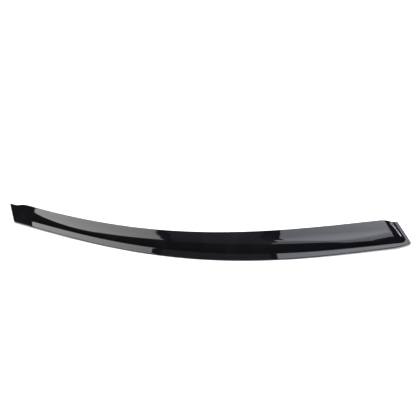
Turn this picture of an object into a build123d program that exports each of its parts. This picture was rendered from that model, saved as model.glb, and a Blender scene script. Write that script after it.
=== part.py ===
from build123d import *
import math
import os

# A stick-on window rain deflector for a front door: one moulded sheet of smoked acrylic.
# A long arched flange lies on the door frame, a step lifts the blade off the glass,
# and the flange is carried round both ends as a short return.
# Frame: +X to the rear of the door, +Y from the flange to the blade's free edge,
# +Z out of the door. It lies as it comes to rest, on the flange's arch and two end corners.

# Sheet
LENGTH = 903.4  # chord between the flange's two outer corners
WALL = 2.5
EDGE_BULGE = 0.5  # how far the rounded long edges stand out of a square cut
END_ROUND = 0.8  # rounding of the two end cuts
CORNER_ROUND = 1.5  # corners of the outline, seen from above
FRAME_RADIUS = 1000.0  # barrel curve of the door frame, across the flange

# Arch of the flange's outer edge, measured square to the chord
ARCH_FRONT_QUARTER = 51.85
ARCH_MIDDLE = 70.65
ARCH_REAR_QUARTER = 47.35
REAR_SWEEP = 6.2  # how far the edge is drawn in towards the rear corner
REAR_SWEEP_REACH = 40.0
REAR_SWEEP_CURVE = 1.5  # power of that sweep

# Width from the flange's outer edge to the free edge, square to the chord
WIDTH_FRONT = 59.9
WIDTH_FRONT_QUARTER = 61.8
WIDTH_MIDDLE = 68.8
WIDTH_REAR_QUARTER = 71.6
WIDTH_REAR = 70.6
TAB_TUCK = 5.5  # how far the front tab's edge is drawn in
RETURN_TUCK = 1.5  # how far the rear return's edge is drawn in
FRONT_LEAN = 24.5  # lean of the front end cut, in degrees
REAR_LEAN = 20.0

# Flange width, from its outer edge to the foot of the step
FLANGE_FRONT = 13.6
FLANGE_FRONT_QUARTER = 16.0
FLANGE_MIDDLE = 16.3
FLANGE_REAR_QUARTER = 12.7
FLANGE_REAR = 8.3

# Height of the flange's outer edge over the ground, and its slope across, in degrees
EDGE_FRONT = 7.15
EDGE_MIDDLE = 3.0
EDGE_REAR = 8.1
SLOPE_FRONT = -1.3
SLOPE_MIDDLE = 3.4
SLOPE_REAR = -2.2

# Step: how far it lifts the blade, and the run it takes for that
RISE_FRONT = 5.0
RISE_MIDDLE = 8.7
RISE_REAR = 8.8
RUN_SHORTEST = 7.5
RUN_LONGEST = 42.0
RUN_PEAK = 45.0  # where the run is longest, rearward of the chord's middle
RUN_FADE = 4.5  # how soon the run shortens away from there, as a power
FLARE_FRONT = 27.0  # how much longer the run grows again at the front end
FLARE_FRONT_REACH = 155.0
FLARE_REAR = 22.0
FLARE_REAR_REACH = 72.0
FLARE_BLEND = 0.17  # softness of a flare's start, as a share of its reach
FOOT_EASE = 2.0  # length over which the foot eases out of the flange
SHOULDER_EASE = 0.6  # share of a run over which its shoulder rounds off

# Blade
FREE_FRONT = 8.9  # height of the free edge over the ground
FREE_MIDDLE = 10.8
FREE_REAR = 13.4
BLADE_RADIUS = 250.0  # bow of the blade between shoulder and free edge

# Ends
TAB_LENGTH = 13.9  # flat tab at the front end, measured along the chord
TAB_BEND = 1.8  # how far the tab is bent down out of the flange's line, in degrees
TAB_BEND_GAP = 47.9  # where it is bent, from the front end cut
TAB_BEND_BLEND = 5.0
RAMP_RUN = 39.0  # ramp from the tab up to the blade
RAMP_FOOT_EASE = 0.28  # shares of the ramp's run that its foot and shoulder take to round off
RAMP_SHOULDER_EASE = 0.6
RETURN_WIDTH = 6.5  # flat return at the rear end
RETURN_MITRE = 0.4  # share of the step's run that is left where it meets the return
RETURN_CORNER = 9.0  # how far the step's foot curves in to meet the return
RETURN_CORNER_REACH = 14.0
END_WALL_RUN = 36.5  # end wall from the return up to the blade, at the free edge
CORNER_WALL_RUN = 27.8  # the same wall at the step's shoulder
END_WALL_FOOT_EASE = 0.22
END_WALL_SHOULDER_EASE = 0.5

HALF = LENGTH / 2
WIDTHS = (WIDTH_FRONT, WIDTH_FRONT_QUARTER, WIDTH_MIDDLE, WIDTH_REAR_QUARTER, WIDTH_REAR)
FLANGES = (FLANGE_FRONT, FLANGE_FRONT_QUARTER, FLANGE_MIDDLE, FLANGE_REAR_QUARTER, FLANGE_REAR)
STEEPEST = 2.0  # steepest slope of a step over its mean slope
HALVINGS = 40  # halvings that find a place on a step's outline

# Sections that the sheet is lofted through
BODY_SECTIONS = 9
ROUND_ANGLES = (0, 25, 45, 65, 90)  # on the rounding of an end cut
CORNER_STEPS = (0.18, 0.5, 1.0)  # further along an end's corner
WALL_STEPS = (0.0, 0.08, 0.17, 0.28, 0.42, 0.58, 0.78, 1.0, 1.3, 1.7, 2.4)  # on its wall and past it


def along(values, t):
    """Smooth curve through values spread evenly from the front end, t = -1, to the rear, t = 1."""
    spots = [-1 + 2 * i / (len(values) - 1) for i in range(len(values))]
    total = 0.0
    for spot, value in zip(spots, values):
        others = [other for other in spots if other != spot]
        total += value * math.prod((t - other) / (spot - other) for other in others)
    return total


def swell(share, foot_ease, shoulder_ease):
    """Rise of an end's outline, 0 to 1, at a share of its run, with a soft foot and shoulder."""
    low, high = 0.0, 1.0
    for _ in range(HALVINGS):
        u = (low + high) / 2
        run = 3 * u * (1 - u) ** 2 * foot_ease + 3 * u * u * (1 - u) * (1 - shoulder_ease) + u**3
        low, high = (u, high) if run < share else (low, u)
    return 3 * low * low * (1 - low) + low**3


def front_lift(x, inset):
    """Share of the full height on the front ramp, which is moved in by inset."""
    return swell((x + HALF - TAB_LENGTH - inset) / RAMP_RUN, RAMP_FOOT_EASE, RAMP_SHOULDER_EASE)


def rear_lift(x, inset, run):
    """Share of the full height on the rear end wall, on a run of that length."""
    share = (HALF - RETURN_WIDTH - inset - x) / run
    return swell(share, END_WALL_FOOT_EASE, END_WALL_SHOULDER_EASE)


def soft_start(value, blend):
    """Zero below zero and the value itself above, with a rounded corner between the two."""
    return (value + math.sqrt(value * value + blend * blend)) / 2


def rear_gap(x):
    """Distance from a station to the rear return, 0 on it."""
    return max(HALF - RETURN_WIDTH - x, 0)


def step_run(x):
    """Run of the step: longest near the middle, flared at both ends, mitred at the rear return."""
    peak = (x - RUN_PEAK) / (HALF + abs(RUN_PEAK))
    run = RUN_SHORTEST + (RUN_LONGEST - RUN_SHORTEST) * (1 - peak * peak) ** RUN_FADE
    front_gap = max(x + HALF - TAB_LENGTH, 0)
    run += FLARE_FRONT * soft_start(1 - front_gap / FLARE_FRONT_REACH, FLARE_BLEND)
    run += FLARE_REAR * soft_start(1 - rear_gap(x) / FLARE_REAR_REACH, FLARE_BLEND)
    return run * (RETURN_MITRE + (1 - RETURN_MITRE) * rear_lift(x, 0, CORNER_WALL_RUN))


def frame_height(x, across):
    """Height of the door frame's surface, which the flange and both returns follow."""
    t = x / HALF
    slope = math.tan(math.radians(along((SLOPE_FRONT, SLOPE_MIDDLE, SLOPE_REAR), t)))
    edge = along((EDGE_FRONT, EDGE_MIDDLE, EDGE_REAR), t)
    bend = math.tan(math.radians(TAB_BEND)) * soft_start(TAB_BEND_GAP - HALF - x, TAB_BEND_BLEND)
    return edge + slope * across - across**2 / (2 * FRAME_RADIUS) - bend


def place(x, point):
    """Puts a point of a section, given as distance across and height, into the part's frame."""
    across, height = point
    t = x / HALF
    lean = along((math.tan(math.radians(FRONT_LEAN)), math.tan(math.radians(REAR_LEAN))), t)
    arch = along((0, ARCH_FRONT_QUARTER, ARCH_MIDDLE, ARCH_REAR_QUARTER, 0), t)
    return Vector(x - lean * across, across - arch, height)


def corner_cut(gap, radius):
    """How far a corner of that radius draws the outline in, at a gap from the end cut."""
    return radius - math.sqrt(radius**2 - max(radius - gap, 0) ** 2)


def skin(x, inset, drop):
    """Points of one skin of the sheet: flange edge, foot, shoulder, blade bow and free edge."""
    t = x / HALF
    corner = corner_cut(HALF - abs(x), CORNER_ROUND)
    start = corner + REAR_SWEEP * max(1 - (HALF - x) / REAR_SWEEP_REACH, 0) ** REAR_SWEEP_CURVE
    width = along(WIDTHS, t) - corner
    width -= TAB_TUCK * (1 - front_lift(x, 0)) + RETURN_TUCK * (1 - rear_lift(x, 0, END_WALL_RUN))
    share = front_lift(x, inset) * rear_lift(x, inset, END_WALL_RUN)
    shoulder_share = front_lift(x, inset) * rear_lift(x, inset, CORNER_WALL_RUN)
    flange = along(FLANGES, t)
    flange += RETURN_CORNER * max(1 - rear_gap(x) / RETURN_CORNER_REACH, 0) ** 2
    run = step_run(x)
    rise = shoulder_share * along((RISE_FRONT, RISE_MIDDLE, RISE_REAR), t)
    free = along((FREE_FRONT, FREE_MIDDLE, FREE_REAR), t)
    far = frame_height(x, width)
    edge = (start, frame_height(x, start) - drop)
    foot = (flange, frame_height(x, flange) - drop)
    shoulder = (flange + run, frame_height(x, flange + run) + rise - drop)
    tip = (width, far + share * (free - far) - drop)
    crown = share * (tip[0] - shoulder[0]) ** 2 / (4 * BLADE_RADIUS)
    bow = ((shoulder[0] + tip[0]) / 2, (shoulder[1] + tip[1]) / 2 + crown)
    return edge, foot, shoulder, bow, tip


def towards(start, end, distance):
    """Point at a distance across from start, on the line through start and end."""
    slope = (end[1] - start[1]) / (end[0] - start[0])
    return start[0] + distance, start[1] + slope * distance


def beyond(front, back, distance):
    """Point at a distance across from the middle of an edge's two corners."""
    return front[0] + distance, (front[1] + back[1]) / 2


def step_curve(points, shift):
    """Control points of the step between flange and blade, tangent to both."""
    edge, foot, shoulder, bow, tip = points
    run = shoulder[0] - foot[0]
    leave = towards(foot, edge, FOOT_EASE + shift)
    arrive = towards(shoulder, bow, shift - SHOULDER_EASE * run)
    return foot, leave, arrive, shoulder


def wall_shift(rise, run):
    """How far the inner skin's step moves along its run, so that the slope keeps the wall."""
    return WALL * math.tan(math.atan2(STEEPEST * rise, run) / 2)


def section(x):
    """Closed section of the sheet at one station, on a plane that leans with the end cuts."""
    thinning = corner_cut(HALF - abs(x), END_ROUND)
    outer = skin(x, 0, thinning)
    inner = skin(x, wall_shift(RISE_MIDDLE, END_WALL_RUN), WALL - thinning)
    shift = wall_shift(outer[2][1] - outer[1][1], outer[2][0] - outer[1][0])

    def at(point):
        return place(x, point)

    edge, foot, shoulder, bow, tip = outer
    back_edge, back_foot, back_shoulder, back_bow, back_tip = inner
    lines = [
        Line(at(edge), at(foot)),
        Bezier(*[at(point) for point in step_curve(outer, 0)]),
        Bezier(at(shoulder), at(bow), at(tip)),
        ThreePointArc(at(tip), at(beyond(tip, back_tip, EDGE_BULGE)), at(back_tip)),
        Bezier(at(back_tip), at(back_bow), at(back_shoulder)),
        Bezier(*[at(point) for point in reversed(step_curve(inner, shift))]),
        Line(at(back_foot), at(back_edge)),
        ThreePointArc(at(back_edge), at(beyond(edge, back_edge, -EDGE_BULGE)), at(edge)),
    ]
    return make_face(Wire(lines))


def end_gaps(flat, run):
    """Distances of one end's sections from its cut: on its rounding, corner, flat and wall."""
    gaps = [END_ROUND * (1 - math.cos(math.radians(angle))) for angle in ROUND_ANGLES]
    gaps += [END_ROUND + share * (CORNER_ROUND - END_ROUND) for share in CORNER_STEPS]
    return gaps + [(CORNER_ROUND + flat) / 2] + [flat + share * run for share in WALL_STEPS]


def stations():
    """Places along the chord: close together on the ends, far apart on the long body."""
    front = end_gaps(TAB_LENGTH, RAMP_RUN)
    rear = end_gaps(RETURN_WIDTH, END_WALL_RUN)
    spacing = (LENGTH - front[-1] - rear[-1]) / (BODY_SECTIONS + 1)
    body = [front[-1] + spacing * (i + 1) for i in range(BODY_SECTIONS)]
    return [gap - HALF for gap in front + body] + [HALF - gap for gap in reversed(rear)]


sheet = loft([section(x) for x in stations()])
box = sheet.bounding_box()
deflector = Pos(-box.center().X, -box.center().Y, -box.min.Z) * sheet

os.makedirs("parts", exist_ok=True)
export_step(deflector, "parts/deflector_sheet.step")
print("box", deflector.bounding_box().size, "volume", round(deflector.volume))
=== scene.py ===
# %% [markdown]
# # A stick-on window rain deflector
# The real part is one heat-formed sheet of dark smoked acrylic. A narrow flange is taped to the door
# frame, a step lifts the blade off the glass, and both ends come down to the frame again.
# The imported CAD model is loaded first. It is the fixed frame: nothing here moves or resizes it, and
# its box is kept, because the finished visual model is laid into it.

# %% Load the imported model
import math

import bpy
import numpy as np
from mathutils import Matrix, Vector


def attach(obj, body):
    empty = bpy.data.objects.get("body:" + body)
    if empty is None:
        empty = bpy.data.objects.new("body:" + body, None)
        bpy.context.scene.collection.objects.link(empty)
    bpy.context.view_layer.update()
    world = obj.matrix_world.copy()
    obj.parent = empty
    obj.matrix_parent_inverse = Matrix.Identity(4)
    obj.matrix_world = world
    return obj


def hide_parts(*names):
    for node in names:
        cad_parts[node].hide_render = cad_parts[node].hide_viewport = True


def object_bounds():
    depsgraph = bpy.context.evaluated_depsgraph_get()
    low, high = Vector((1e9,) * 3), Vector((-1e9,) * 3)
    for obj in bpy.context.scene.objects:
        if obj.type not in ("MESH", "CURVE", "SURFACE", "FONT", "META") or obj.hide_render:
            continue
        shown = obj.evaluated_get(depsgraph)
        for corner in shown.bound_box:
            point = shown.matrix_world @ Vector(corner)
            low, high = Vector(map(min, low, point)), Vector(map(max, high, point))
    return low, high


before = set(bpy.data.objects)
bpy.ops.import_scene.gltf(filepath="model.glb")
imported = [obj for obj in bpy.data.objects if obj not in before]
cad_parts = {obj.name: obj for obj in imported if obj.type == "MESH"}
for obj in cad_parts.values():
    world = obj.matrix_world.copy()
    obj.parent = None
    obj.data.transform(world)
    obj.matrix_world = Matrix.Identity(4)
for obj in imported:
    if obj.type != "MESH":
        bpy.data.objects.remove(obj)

MM = 0.001
cad_low, cad_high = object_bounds()
print("CAD box, mm", [round(side / MM, 1) for side in cad_high - cad_low])

# %% [markdown]
# ## The sheet as a surface of two parameters
# Gloss shows every facet, so the sheet is worked out again as a fine grid instead of smoothing the CAD
# triangles. One parameter runs along the chord from the front tab to the rear return, the other runs
# round the closed section: flange, step, blade, free edge and back along the inner skin.
# A modifier stack on a flat strip could be bent to much the same form, but a formula keeps the step's
# length, the arch and both ends exactly where the solid has them.
# All sizes are millimetres, in the sheet's own frame with the chord along X. Both long edges bulge
# between the two skins: the flange's edge by EDGE_BULGE, the free edge by the rounder EDGE_ROUND.

# %% Sizes of the sheet
LENGTH = 903.4
HALF = LENGTH / 2
WALL = 2.5
EDGE_BULGE = 0.5
EDGE_ROUND = 1.0
END_ROUND = 0.8
CORNER_ROUND = 1.5
REAR_SWEEP = 6.2
REAR_SWEEP_REACH = 40.0
REAR_SWEEP_CURVE = 1.5
FRAME_RADIUS = 1000.0

# Values along the chord, spread evenly from the front end to the rear end
ARCH = (0.0, 51.85, 70.65, 47.35, 0.0)
WIDTH = (59.9, 61.8, 68.8, 71.6, 70.6)
FLANGE_WIDTH = (13.6, 16.0, 16.3, 12.7, 8.3)
EDGE_HEIGHT = (7.15, 3.0, 8.1)
FRAME_SLOPE = (-1.3, 3.4, -2.2)
STEP_RISE = (5.0, 8.7, 8.8)
FREE_HEIGHT = (8.9, 10.8, 13.4)
END_LEAN = (24.5, 20.0)
print("sheet", LENGTH, "mm along the chord,", max(WIDTH), "mm at its widest")

# %% [markdown]
# ## Sizes of the step and the ends
# The step is short and steep near both ends and runs out softly in the middle. At the front the sheet
# ramps down to a flat tab, which is bent a little, and at the rear a sloped wall comes down to a narrow
# return. Both could be cut and bent pieces of their own, but the real sheet has no seam there, so they
# are only values that pull the same section down. A run is the length over which a height changes. An
# ease is the length of a curve's handle, as a share of its run, and only FOOT_EASE is in millimetres.

# %% Sizes of the step and the ends
RUN_SHORTEST = 7.5
RUN_LONGEST = 42.0
RUN_PEAK = 45.0
RUN_FADE = 4.5
FLARE_FRONT = 27.0
FLARE_FRONT_REACH = 155.0
FLARE_REAR = 22.0
FLARE_REAR_REACH = 72.0
FLARE_BLEND = 0.17
FOOT_EASE = 2.0
SHOULDER_EASE = 0.6
STEEPEST = 2.0
BLADE_RADIUS = 250.0
TAB_LENGTH = 13.9
TAB_TUCK = 5.5
TAB_BEND = 1.8
TAB_BEND_GAP = 47.9
TAB_BEND_BLEND = 5.0
RAMP_RUN = 39.0
RAMP_EASES = (0.28, 0.6)
RETURN_WIDTH = 6.5
RETURN_TUCK = 1.5
RETURN_MITRE = 0.4
RETURN_CORNER = 9.0
RETURN_CORNER_REACH = 14.0
END_WALL_RUN = 36.5
CORNER_WALL_RUN = 27.8
END_WALL_EASES = (0.22, 0.5)
print("front ramp", RAMP_RUN, "mm long, rear wall", END_WALL_RUN, "mm long")

# %% [markdown]
# ## Curves that every section shares
# A value that changes along the part is a curve through a few given values. Each step outline is a
# Bezier curve, because its two handles say how softly it leaves the foot and reaches the shoulder.
# Blender's own curve objects could draw them, but numpy gives the points of all sections at once.

# %% Curves
SWELL_SAMPLES = 2001


def through(values, t):
    """Curve through values spread evenly from t = -1 to t = 1: each value times the product, over the
    other spots, of (t - other) / (own spot - other)."""
    spots = np.linspace(-1, 1, len(values))
    total = 0.0
    for spot, value in zip(spots, values):
        shares = [(t - other) / (spot - other) for other in spots if other != spot]
        total = total + value * np.prod(shares, axis=0)
    return total


def bezier(points, u):
    """Bezier curve of any order: neighbours become (1 - u) * a + u * b until one point is left."""
    while len(points) > 1:
        points = [(1 - u) * a + u * b for a, b in zip(points, points[1:])]
    return points[0]


def swell(share, eases):
    """Rise from 0 to 1 over a run of 0 to 1, read off a cubic Bezier with a soft foot and shoulder."""
    u = np.linspace(0, 1, SWELL_SAMPLES)
    run = bezier([0.0, eases[0], 1 - eases[1], 1.0], u)
    rise = bezier([0.0, 0.0, 1.0, 1.0], u)
    return np.interp(share, run, rise)


def corner_cut(gap, radius):
    """How far a rounded corner draws an outline in, at a gap from the end:
    r - sqrt(r^2 - (r - gap)^2)."""
    inside = np.clip(radius - gap, 0, radius)
    return radius - np.sqrt(radius**2 - inside**2)


def soft_start(value, blend):
    """Zero below zero, the value itself above, a rounded corner between: (v + sqrt(v^2 + b^2)) / 2."""
    return (value + np.sqrt(value**2 + blend**2)) / 2


print("width halfway along, mm", round(float(through(WIDTH, 0.0)), 1))

# %% [markdown]
# ## How the section changes along the part
# The front ramp and the rear wall say which share of its full height the sheet has reached at a station.
# The step's run is a bell over the whole length with a flare at each end, where the real step turns
# into the end. The frame of the door, which the flange lies on, is a barrel with a changing slope.

# %% Ramp, rear wall, step and door frame
def front_lift(x, inset):
    """Share of the full height that the front ramp has reached at a station."""
    return swell((x + HALF - TAB_LENGTH - inset) / RAMP_RUN, RAMP_EASES)


def rear_lift(x, inset, run):
    """Share of the full height that the rear wall has reached at a station, on a run of that length."""
    return swell((HALF - RETURN_WIDTH - inset - x) / run, END_WALL_EASES)


def rear_gap(x):
    """Distance from a station to the rear return, 0 on it."""
    return np.maximum(HALF - RETURN_WIDTH - x, 0)


def step_run(x):
    """Run of the step: shortest + (longest - shortest) * (1 - peak^2)^fade, and a flare at each end."""
    peak = (x - RUN_PEAK) / (HALF + abs(RUN_PEAK))
    run = RUN_SHORTEST + (RUN_LONGEST - RUN_SHORTEST) * (1 - peak**2) ** RUN_FADE
    front_gap = np.maximum(x + HALF - TAB_LENGTH, 0)
    run = run + FLARE_FRONT * soft_start(1 - front_gap / FLARE_FRONT_REACH, FLARE_BLEND)
    run = run + FLARE_REAR * soft_start(1 - rear_gap(x) / FLARE_REAR_REACH, FLARE_BLEND)
    return run * (RETURN_MITRE + (1 - RETURN_MITRE) * rear_lift(x, 0, CORNER_WALL_RUN))


def frame_height(x, across):
    """Height of the door frame: edge + slope * across - across^2 / (2 * radius) - bend of the tab."""
    slope = np.tan(np.radians(through(FRAME_SLOPE, x / HALF)))
    bend = math.tan(math.radians(TAB_BEND)) * soft_start(TAB_BEND_GAP - HALF - x, TAB_BEND_BLEND)
    return through(EDGE_HEIGHT, x / HALF) + slope * across - across**2 / (2 * FRAME_RADIUS) - bend


print("step runs, mm", [round(float(step_run(x)), 1) for x in (-HALF, 0, HALF)])

# %% [markdown]
# ## One skin of the sheet
# The outer and the inner skin use the same rule with other values. The inner one lies a wall's
# thickness lower, and its step is moved along by the amount that keeps the wall on the slope.
# A Solidify modifier could give a wall too, but its inner skin would not be the solid's.

# %% Skins
FLANGE_POINTS, STEP_POINTS, BLADE_POINTS = 8, 32, 21
FLANGE_SHARES = np.linspace(0, 1, FLANGE_POINTS, endpoint=False)
STEP_SHARES = np.linspace(0, 1, STEP_POINTS, endpoint=False)
BLADE_SHARES = np.linspace(0, 1, BLADE_POINTS)


def towards(start, end, distance):
    """Point at a distance across from start, on the straight line through start and end."""
    slope = (end[1] - start[1]) / (end[0] - start[0])
    return np.array([start[0] + distance, start[1] + slope * distance])


def wall_shift(rise, run):
    """Shift of the inner step: wall * tan(half of the step's steepest slope)."""
    return WALL * np.tan(np.arctan2(STEEPEST * rise, run) / 2)


def skin(x, inset, drop, with_wall):
    """Distances across and heights of one skin, for a column of stations x, from flange to free edge.
    Flange: straight line. Step: cubic Bezier, tangent to both. Blade: quadratic Bezier with a crown."""
    t = x / HALF
    share = front_lift(x, inset) * rear_lift(x, inset, END_WALL_RUN)
    shoulder_share = front_lift(x, inset) * rear_lift(x, inset, CORNER_WALL_RUN)
    cut = corner_cut(HALF - np.abs(x), CORNER_ROUND)
    start = cut + REAR_SWEEP * np.clip(1 - (HALF - x) / REAR_SWEEP_REACH, 0, 1) ** REAR_SWEEP_CURVE
    width = through(WIDTH, t) - cut - EDGE_ROUND + EDGE_BULGE
    width = width - TAB_TUCK * (1 - front_lift(x, 0)) - RETURN_TUCK * (1 - rear_lift(x, 0, END_WALL_RUN))
    corner = np.clip(1 - rear_gap(x) / RETURN_CORNER_REACH, 0, 1) ** 2
    flange = through(FLANGE_WIDTH, t) + RETURN_CORNER * corner
    run = step_run(x)
    rise = shoulder_share * through(STEP_RISE, t)
    far = frame_height(x, width)
    edge = np.array([start, frame_height(x, start) - drop])
    foot = np.array([flange, frame_height(x, flange) - drop])
    shoulder = np.array([flange + run, frame_height(x, flange + run) + rise - drop])
    tip = np.array([width, far + share * (through(FREE_HEIGHT, t) - far) - drop])
    bow = (shoulder + tip) / 2
    bow[1] += share * (tip[0] - shoulder[0]) ** 2 / (4 * BLADE_RADIUS)
    shift = with_wall * wall_shift(shoulder[1] - foot[1], run)
    leave = towards(foot, edge, FOOT_EASE + shift)
    arrive = towards(shoulder, bow, shift - SHOULDER_EASE * run)
    flange_line = bezier([edge, foot], FLANGE_SHARES)
    step = bezier([foot, leave, arrive, shoulder], STEP_SHARES)
    blade = bezier([shoulder, bow, tip], BLADE_SHARES)
    return np.concatenate([flange_line, step, blade], axis=2)


print("each skin has", FLANGE_POINTS + STEP_POINTS + BLADE_POINTS, "points across")

# %% [markdown]
# ## Stations, rounded edges and the finished grid
# Stations lie close together on the rounded end cuts and on both ends of the part, and a few millimetres
# apart on the long body. The long edges are half ellipses between the two skins, so that a highlight
# can run along them. Each section leans with the end cuts and is moved down by the arch.
# A Bevel modifier would round the edges too, but here they are only a few more points of each loop.

# %% Grid of the sheet
END_SPACING = 0.6
BODY_SPACING = 3.0
ROUND_STATIONS = 9
CAP_POINTS = 10


def stations():
    """Places along the chord: gaps of END_ROUND * (1 - cos(angle)) on the cuts, else even spacing."""
    angles = np.linspace(0, math.pi / 2, ROUND_STATIONS)
    cut = END_ROUND * (1 - np.cos(angles))
    front_end = TAB_LENGTH + RAMP_RUN
    rear_end = RETURN_WIDTH + END_WALL_RUN
    front = np.linspace(END_ROUND, front_end, round((front_end - END_ROUND) / END_SPACING))[1:]
    rear = np.linspace(END_ROUND, rear_end, round((rear_end - END_ROUND) / END_SPACING))[1:]
    body_stations = round((LENGTH - front_end - rear_end) / BODY_SPACING)
    body = np.linspace(front_end, LENGTH - rear_end, body_stations)[1:-1]
    gaps = np.concatenate([cut, front, body, LENGTH - rear[::-1], LENGTH - cut[::-1]])
    return gaps - HALF


def edge_cap(upper, lower, bulge):
    """Half ellipse from the upper to the lower skin: middle + half height * cos(a) + bulge * sin(a)."""
    angles = math.pi * (np.arange(CAP_POINTS) + 0.5) / CAP_POINTS
    middle, half = (upper + lower) / 2, (upper - lower) / 2
    outward = np.array([bulge, 0.0]).reshape(2, 1, 1)
    return middle[:, :, None] + half[:, :, None] * np.cos(angles) + outward * np.sin(angles)


def sheet_grid():
    """Closed loops of points, one row per station: outer skin, free edge, inner skin, flange edge.
    A point stands at x - lean * across along the part and at across - arch across it."""
    x = stations()[:, None]
    thinning = corner_cut(HALF - np.abs(x), END_ROUND)
    inset = wall_shift(STEP_RISE[1], END_WALL_RUN)
    outer = skin(x, 0.0, thinning, 0)
    inner = skin(x, inset, WALL - thinning, 1)
    free_edge = edge_cap(outer[:, :, -1], inner[:, :, -1], EDGE_ROUND)
    flange_edge = edge_cap(inner[:, :, 0], outer[:, :, 0], -EDGE_BULGE)
    loop = np.concatenate([outer, free_edge, inner[:, :, ::-1], flange_edge], axis=2)
    loop = np.roll(loop, CAP_POINTS // 2, axis=2)
    across, height = loop
    lean = through(np.tan(np.radians(END_LEAN)), x / HALF)
    return np.stack([x - lean * across, across - through(ARCH, x / HALF), height], axis=2)


grid = sheet_grid()
print("sheet grid", grid.shape[0], "stations of", grid.shape[1], "points")

# %% [markdown]
# ## From grid to mesh
# Neighbouring points become quads, the section closes on itself, and each end cut is closed by quads
# that pair the upper points with the lower ones. Two values are kept for the finish: a map in metres
# along and across the sheet, and a mask that is 1 on the cut edges.

# %% Faces, map and mask
def grid_faces(rows, columns):
    """Quads of a grid that closes on itself across, and of both its ends, as rows of point numbers."""
    row, column = np.meshgrid(np.arange(rows - 1), np.arange(columns), indexing="ij")
    after = (column + 1) % columns
    around = np.stack([row * columns + column, row * columns + after,
                       (row + 1) * columns + after, (row + 1) * columns + column], axis=-1)
    left = np.arange(columns // 2 - 1)
    right = columns - 1 - left
    end = np.stack([left, right, right - 1, left + 1], axis=-1)
    return np.concatenate([around.reshape(-1, 4), end, end[:, ::-1] + (rows - 1) * columns])


def sheet_map(points):
    """Distances along and across the sheet, in metres: running sums of the steps between neighbours."""
    along = np.linalg.norm(np.diff(points, axis=0), axis=2).mean(axis=1)
    across = np.linalg.norm(np.diff(points, axis=1), axis=2).mean(axis=0)
    along, across = np.append(0, np.cumsum(along)), np.append(0, np.cumsum(across))
    return np.stack(np.meshgrid(along, across, indexing="ij"), axis=2)


def edge_mask(rows, columns):
    """1 on the rounded edges and the end cuts, 0 on both skins."""
    mask = np.zeros((rows, columns))
    half = CAP_POINTS // 2
    free = half + FLANGE_POINTS + STEP_POINTS + BLADE_POINTS
    mask[:, :half] = mask[:, -half:] = mask[:, free:free + CAP_POINTS] = 1
    mask[:ROUND_STATIONS - 1] = mask[1 - ROUND_STATIONS:] = 1
    return mask


print("points on cut edges", int(edge_mask(*grid.shape[:2]).sum()), "of", grid.shape[0] * grid.shape[1])

# %% [markdown]
# ## The sheet in its place
# The grid takes its place from the frame: its box is laid into the CAD box, middle on middle. The place
# is in the mesh, so the object itself stays at the origin. It stands for the CAD node of the sheet.

# %% Mesh of the sheet
def put_in_scene(name, data):
    """A new object in the scene, at the origin."""
    made = bpy.data.objects.new(name, data)
    bpy.context.scene.collection.objects.link(made)
    return made


def make_sheet():
    """The sheet as one closed, smooth-shaded mesh, with its map and its mask."""
    points = grid * MM
    low, high = points.min(axis=(0, 1)), points.max(axis=(0, 1))
    points = points + (np.array(cad_low) + np.array(cad_high) - low - high) / 2
    rows, columns = points.shape[:2]
    faces = grid_faces(rows, columns)
    mesh = bpy.data.meshes.new("deflector_skin")
    mesh.from_pydata(points.reshape(-1, 3).tolist(), [], faces.tolist())
    mesh.shade_smooth()
    where = sheet_map(points).reshape(-1, 2)[faces.reshape(-1)]
    mesh.uv_layers.new(name="sheet_map").data.foreach_set("uv", where.astype(np.float32).reshape(-1))
    mask = mesh.attributes.new("cut_edge", "FLOAT", "POINT")
    mask.data.foreach_set("value", edge_mask(rows, columns).astype(np.float32).reshape(-1))
    return put_in_scene("deflector_skin", mesh)


sheet = make_sheet()
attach(sheet, "root")
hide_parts("deflector_sheet")
print("sheet mesh", len(sheet.data.polygons), "faces")

# %% [markdown]
# ## Shader nodes in short
# A material is a tree of nodes. These helpers make the few kinds that the finish needs, so that the
# material itself can be read as a list of effects.

# %% Node helpers
def node(tree, kind, **values):
    """A new shader node with its properties set."""
    made = tree.nodes.new(kind)
    for name, value in values.items():
        setattr(made, name, value)
    return made


def noise(tree, place, stretch, scale, detail):
    """Noise on a place vector that is first scaled by stretch, one factor per axis."""
    mapping = node(tree, "ShaderNodeMapping")
    mapping.inputs["Scale"].default_value = stretch
    tree.links.new(place, mapping.inputs["Vector"])
    made = node(tree, "ShaderNodeTexNoise")
    made.inputs["Scale"].default_value = scale
    made.inputs["Detail"].default_value = detail
    tree.links.new(mapping.outputs["Vector"], made.inputs["Vector"])
    return made.outputs["Fac"]


def spread(tree, value, low, high, start=0.0, end=1.0, kind="SMOOTHSTEP"):
    """Map Range node: value between low and high becomes start to end."""
    made = node(tree, "ShaderNodeMapRange", interpolation_type=kind)
    tree.links.new(value, made.inputs["Value"])
    for name, number in zip(("From Min", "From Max", "To Min", "To Max"), (low, high, start, end)):
        made.inputs[name].default_value = number
    return made.outputs["Result"]


def weighted(tree, mask, weight, rest):
    """Math node: mask * weight + rest."""
    made = node(tree, "ShaderNodeMath", operation="MULTIPLY_ADD")
    tree.links.new(mask, made.inputs[0])
    made.inputs[1].default_value = weight
    tree.links.new(rest, made.inputs[2])
    return made.outputs["Value"]


print("node helpers", [helper.__name__ for helper in (node, noise, spread, weighted)])

# %% [markdown]
# ## Smoked acrylic
# Heat-formed acrylic is almost a mirror. What tells it from a perfect black mirror is small: the forming
# leaves the skin very slightly wavy, drawn out along the part, handling leaves a thin haze, wiping
# leaves hairlines along the sheet, and the cut edges are satin. The waves are a faint bump, the rest
# changes the roughness, and the haze lifts the colour a little as well. The body colour is nearly black,
# so the gloss comes from the shader and from the lights that it reflects.

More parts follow.
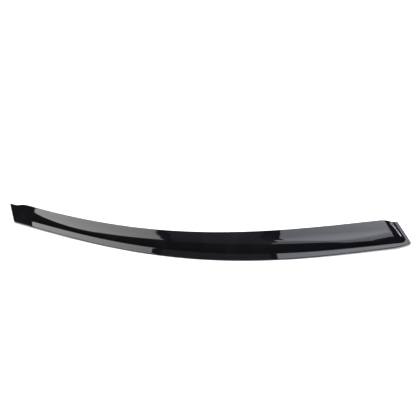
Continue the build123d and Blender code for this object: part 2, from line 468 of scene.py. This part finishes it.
# %% Acrylic material
BODY_COLOUR = (0.0034, 0.0035, 0.0042, 1)
HAZE_COLOUR = (0.0055, 0.0056, 0.0065, 1)
ACRYLIC_IOR = 1.49
CLEAR_ROUGHNESS, HAZE_ROUGHNESS = 0.02, 0.04
LINE_ROUGHNESS = 0.015
EDGE_ROUGHNESS = 0.3
WAVE_HEIGHT = 0.00002

# Each pattern is a stretch along the axes, a scale and a detail, and each limit a value of its noise
HAZE_PATTERN = ((1.0, 1.0, 1.0), 22.0, 5.0)
HAZE_LIMITS = (0.45, 0.75)
LINE_PATTERN = ((1.0, 45.0, 1.0), 25.0, 2.0)
LINE_LIMITS = (0.58, 0.78)
WAVE_PATTERN = ((0.35, 1.0, 1.0), 30.0, 1.0)


def smoked_acrylic():
    """Polished dark acrylic: wavy skin, thin haze, hairlines along the sheet, satin cut edges."""
    material = bpy.data.materials.new("smoked_acrylic")
    material.use_nodes = True
    tree = material.node_tree
    shader = tree.nodes["Principled BSDF"]
    shader.inputs["IOR"].default_value = ACRYLIC_IOR
    place = node(tree, "ShaderNodeTexCoord").outputs["Object"]
    on_sheet = node(tree, "ShaderNodeUVMap", uv_map="sheet_map").outputs["UV"]
    edge = node(tree, "ShaderNodeAttribute", attribute_name="cut_edge").outputs["Fac"]
    haze = spread(tree, noise(tree, place, *HAZE_PATTERN), *HAZE_LIMITS)
    lines = spread(tree, noise(tree, on_sheet, *LINE_PATTERN), *LINE_LIMITS)
    tint = node(tree, "ShaderNodeMix", data_type="RGBA")
    tint.inputs["A"].default_value = BODY_COLOUR
    tint.inputs["B"].default_value = HAZE_COLOUR
    tree.links.new(haze, tint.inputs["Factor"])
    tree.links.new(tint.outputs["Result"], shader.inputs["Base Color"])
    skin_roughness = spread(tree, haze, 0.0, 1.0, CLEAR_ROUGHNESS, HAZE_ROUGHNESS)
    lined_roughness = weighted(tree, lines, LINE_ROUGHNESS, skin_roughness)
    tree.links.new(weighted(tree, edge, EDGE_ROUGHNESS, lined_roughness), shader.inputs["Roughness"])
    bump = node(tree, "ShaderNodeBump")
    bump.inputs["Distance"].default_value = WAVE_HEIGHT
    tree.links.new(noise(tree, place, *WAVE_PATTERN), bump.inputs["Height"])
    tree.links.new(bump.outputs["Normal"], shader.inputs["Normal"])
    return material


acrylic = smoked_acrylic()
sheet.data.materials.append(acrylic)
print("material", acrylic.name, "with", len(acrylic.node_tree.nodes), "nodes")

# %% [markdown]
# ## Camera
# The view looks down on the part from the flange side, a few degrees round towards the rear end.
# The picture is square, and the point in its middle lies behind the part, beyond the free edge.
# Lamps are placed from the same point and turned with the view, because they are seen in the gloss.

# %% Camera
VIEW_MIDDLE = (0.00284, 0.07333, 0.00693)
VIEW_TURN = math.radians(4.457)
VIEW_RISE = math.radians(50.0)
VIEW_DISTANCE = 1.5556
VIEW_LENS = 57.81
SENSOR = 36.0


def studio(x, y, z):
    """A place in the studio, from the view's middle: x to the camera's right, y away from it, z up."""
    turn = np.array([math.cos(VIEW_TURN), math.sin(VIEW_TURN)])
    return (VIEW_MIDDLE[0] + turn[0] * x - turn[1] * y,
            VIEW_MIDDLE[1] + turn[1] * x + turn[0] * y,
            VIEW_MIDDLE[2] + z)


lens = bpy.data.cameras.new("camera")
lens.lens = VIEW_LENS
lens.sensor_width = SENSOR
camera = put_in_scene("camera", lens)
camera.location = studio(0, -VIEW_DISTANCE * math.cos(VIEW_RISE), VIEW_DISTANCE * math.sin(VIEW_RISE))
camera.rotation_euler = (math.pi / 2 - VIEW_RISE, 0, VIEW_TURN)
bpy.context.scene.camera = camera
print("camera at", [round(value, 3) for value in camera.location])

# %% [markdown]
# ## Lamps that fade
# A plain area lamp is equally bright all over, and a real soft box isn't. A light's own node tree does
# the fading: it knows the place on the lamp, as a share of each side. A fade is a ramp along one
# direction: across the picture, away from the camera, or slanted. Boxes of one group share their fades,
# so that the brightness runs on from box to box.

# %% Fading lamps
ACROSS, AWAY, SLANTED = (1.0, 0.0), (0.0, 1.0), (-0.7, 1.0)


def even_glow(factor):
    """Fades of a lamp that is equally bright all over."""
    return ((ACROSS, 0.0, 1.0, factor, factor),)


def fade_lamp(light, spans, fades):
    """Strength of a lamp: the product of its fades. Each is a ramp over x * a + y * b, the place on the
    lamp along the fade's direction (a, b); the node gives x and y as shares of the lamp's sides."""
    light.use_nodes = True
    tree = light.node_tree
    shares = node(tree, "ShaderNodeNewGeometry").outputs["Parametric"]
    sides = [span[1] - span[0] for span in spans]
    strength = None
    for direction, low, high, start, end in fades:
        along = node(tree, "ShaderNodeVectorMath", operation="DOT_PRODUCT")
        tree.links.new(shares, along.inputs[0])
        along.inputs[1].default_value = [part * side for part, side in zip(direction, sides)] + [0]
        corner = sum(part * span[0] for part, span in zip(direction, spans))
        factor = spread(tree, along.outputs["Value"], low - corner, high - corner, start, end, "LINEAR")
        if strength is not None:
            product = node(tree, "ShaderNodeMath", operation="MULTIPLY")
            tree.links.new(strength, product.inputs[0])
            tree.links.new(factor, product.inputs[1])
            factor = product.outputs["Value"]
        strength = factor
    tree.links.new(strength, tree.nodes["Emission"].inputs["Strength"])


def flat_light(name, sides, glow):
    """A rectangular light. Its power is glow * pi * area, so that a glow of 1 looks like plain white."""
    light = bpy.data.lights.new(name, "AREA")
    light.shape = "RECTANGLE"
    light.size, light.size_y = sides
    light.energy = glow * math.pi * light.size * light.size_y
    return light


def soft_box(name, spans, height, fades, tint):
    """A flat lamp facing down, over a span across the picture and a span away from the camera."""
    light = flat_light(name, [span[1] - span[0] for span in spans], 1.0)
    light.color = tint
    fade_lamp(light, spans, fades)
    lamp = put_in_scene(name, light)
    lamp.location = studio(sum(spans[0]) / 2, sum(spans[1]) / 2, height)
    lamp.rotation_euler = (0, 0, VIEW_TURN)
    return lamp


print("fade directions", ACROSS, AWAY, SLANTED)

# %% [markdown]
# ## Soft boxes
# Black gloss shows only what it reflects. Two groups of soft boxes hang over the part, left and right,
# with a dim gap between them: their images are the two grey fields on the blade and the flange. Each
# group is brighter towards its outer side. The outline of a group is cut into a few rectangles, because
# a rectangle is the only straight-edged shape that a lamp has. The right group ends in a fan, a row of
# narrow boxes that start farther and farther back, so that the bright field ends in a slanted line at
# the rear wall.

# %% Soft boxes
BOX_HEIGHT = 1.2
FAR_END = 3.0
LEFT_BOXES = (((-0.81, -0.58), (0.10, FAR_END)), ((-0.58, -0.268), (0.24, FAR_END)),
              ((-0.268, -0.252), (0.24, 1.1)), ((-0.268, -0.262), (1.5, 1.65)),
              ((-0.268, -0.252), (1.65, FAR_END)))
RIGHT_BOXES = (((0.268, 0.288), (0.12, 0.30)), ((0.288, 0.332), (0.12, 0.65)),
               ((0.332, 0.49), (0.12, FAR_END)), ((0.49, 0.525), (0.02, FAR_END)),
               ((0.525, 0.56), (-0.11, FAR_END)), ((0.56, 0.80), (-0.25, FAR_END)),
               ((0.80, 0.92), (0.17, FAR_END)))
FAN_BOXES = 9
FAN_FROM, FAN_TO = (0.92, 0.82), (2.065, 2.92)
GAP_BOX = ((-0.21, 0.26), (0.12, FAR_END))

# Each fade is a direction, the two places along it between which it acts, and its factor at each of them
LEFT_FADES = ((ACROSS, -0.81, -0.245, 6.5, 3.4), (AWAY, 0.9, 1.3, 1.0, 0.83))
RIGHT_FADES = ((ACROSS, 0.27, 0.92, 3.3, 5.35), (SLANTED, 0.185, 0.315, 0.5, 1.0),
               (AWAY, 0.80, 1.03, 1.0, 0.66))
FAN_GLOW = 3.25
GAP_GLOW = 0.15
LEFT_TINT = (1.015, 1.0, 0.985)
RIGHT_TINT = (0.98, 1.0, 1.10)
GAP_TINT = (0.95, 1.0, 1.25)


def fan_spans():
    """Spans of the fan: even steps to the right, each starting on the line between its two ends."""
    sides = np.linspace(FAN_FROM[0], FAN_TO[0], FAN_BOXES + 1)
    starts = np.interp((sides[:-1] + sides[1:]) / 2, *zip(FAN_FROM, FAN_TO))
    return [((left, right), (start, FAR_END)) for left, right, start in zip(sides, sides[1:], starts)]


for group, boxes, fades, tint in (("left", LEFT_BOXES, LEFT_FADES, LEFT_TINT),
                                  ("right", RIGHT_BOXES, RIGHT_FADES, RIGHT_TINT),
                                  ("fan", fan_spans(), even_glow(FAN_GLOW), RIGHT_TINT),
                                  ("gap", (GAP_BOX,), even_glow(GAP_GLOW), GAP_TINT)):
    for number, spans in enumerate(boxes):
        soft_box(f"{group}_{number}", spans, BOX_HEIGHT, fades, tint)
    print("soft boxes of the", group, "group:", len(boxes))

# %% [markdown]
# ## Rim strips
# The wall at the rear end faces away from the soft boxes. On the real part a fine white line runs along
# it, the image of something bright and thin. Three thin lamps stand low behind the rear end, end to end,
# and give that line. Glowing strips of mesh could stand there too, but a lamp needs no mesh.

# %% Rim strips
RIM_GLOW = 7.0
RIM_MIDDLE = (1.793, 1.702)
RIM_TURN = math.radians(39.3)
RIM_WIDTH = 0.03
# Ends of the strips, each as a place to the right of the middle and a height
RIM_CORNERS = ((-0.06, 0.125), (0.075, 0.025), (0.15, 0.07), (0.25, 0.26))


def rim_strip(name, start, end):
    """A thin lamp from one corner to the next, facing the rear end: turned by RIM_TURN and rolled by
    the angle of the line between the corners."""
    sideways, height = (start[0] + end[0]) / 2, (start[1] + end[1]) / 2
    lamp = put_in_scene(name, flat_light(name, (math.dist(start, end), RIM_WIDTH), RIM_GLOW))
    right, away = sideways * math.cos(RIM_TURN), sideways * math.sin(RIM_TURN)
    lamp.location = studio(RIM_MIDDLE[0] + right, RIM_MIDDLE[1] - away, height)
    roll = math.atan2(end[1] - start[1], end[0] - start[0])
    lamp.rotation_euler = (math.pi / 2, roll, VIEW_TURN + math.pi - RIM_TURN)


for number, corners in enumerate(zip(RIM_CORNERS, RIM_CORNERS[1:])):
    rim_strip(f"rim_{number}", *corners)
print("rim strips", len(RIM_CORNERS) - 1)

# %% [markdown]
# ## Floor and backdrop
# The part lies on white paper. A last lamp, kept out of the reflections, lights it evenly. The world is
# white where the camera sees it, past the edge of the paper, and dark in reflections, because a bright
# room would turn the black sheet grey.

# %% Floor and backdrop
FLOOR_LAMP = ((-3.0, 3.0), (-3.0, 3.0))
FLOOR_LAMP_HEIGHT = 3.6
FLOOR_GLOW = 3.0
FLOOR_TINT = (1, 1, 1)
FLOOR_SIZE = 3.2
PAPER_COLOUR = (0.86, 0.86, 0.86, 1)
PAPER_ROUGHNESS = 0.9
WORLD_COLOUR = (0.016, 0.017, 0.021, 1)
BACKDROP_COLOUR = (1, 1, 1, 1)

floor_lamp = soft_box("floor_lamp", FLOOR_LAMP, FLOOR_LAMP_HEIGHT, even_glow(FLOOR_GLOW), FLOOR_TINT)
floor_lamp.visible_glossy = False

world = bpy.data.worlds.new("studio")
bpy.context.scene.world = world
world.use_nodes = True
sky = world.node_tree
backdrop = node(sky, "ShaderNodeMix", data_type="RGBA")
backdrop.inputs["A"].default_value = WORLD_COLOUR
backdrop.inputs["B"].default_value = BACKDROP_COLOUR
sky.links.new(node(sky, "ShaderNodeLightPath").outputs["Is Camera Ray"], backdrop.inputs["Factor"])
sky.links.new(backdrop.outputs["Result"], sky.nodes["Background"].inputs["Color"])

half = FLOOR_SIZE / 2
floor_corners = [(-half, -half, 0), (half, -half, 0), (half, half, 0), (-half, half, 0)]
floor_mesh = bpy.data.meshes.new("floor")
floor_mesh.from_pydata(floor_corners, [], [(0, 1, 2, 3)])
floor = put_in_scene("floor", floor_mesh)
floor.location.z = cad_low.z
paper = bpy.data.materials.new("white_paper")
paper.use_nodes = True
paper_shader = paper.node_tree.nodes["Principled BSDF"]
paper_shader.inputs["Base Color"].default_value = PAPER_COLOUR
paper_shader.inputs["Roughness"].default_value = PAPER_ROUGHNESS
floor_mesh.materials.append(paper)
bpy.context.scene.view_settings.view_transform = "Standard"
print("floor", FLOOR_SIZE, "m wide at height", round(floor.location.z, 6))
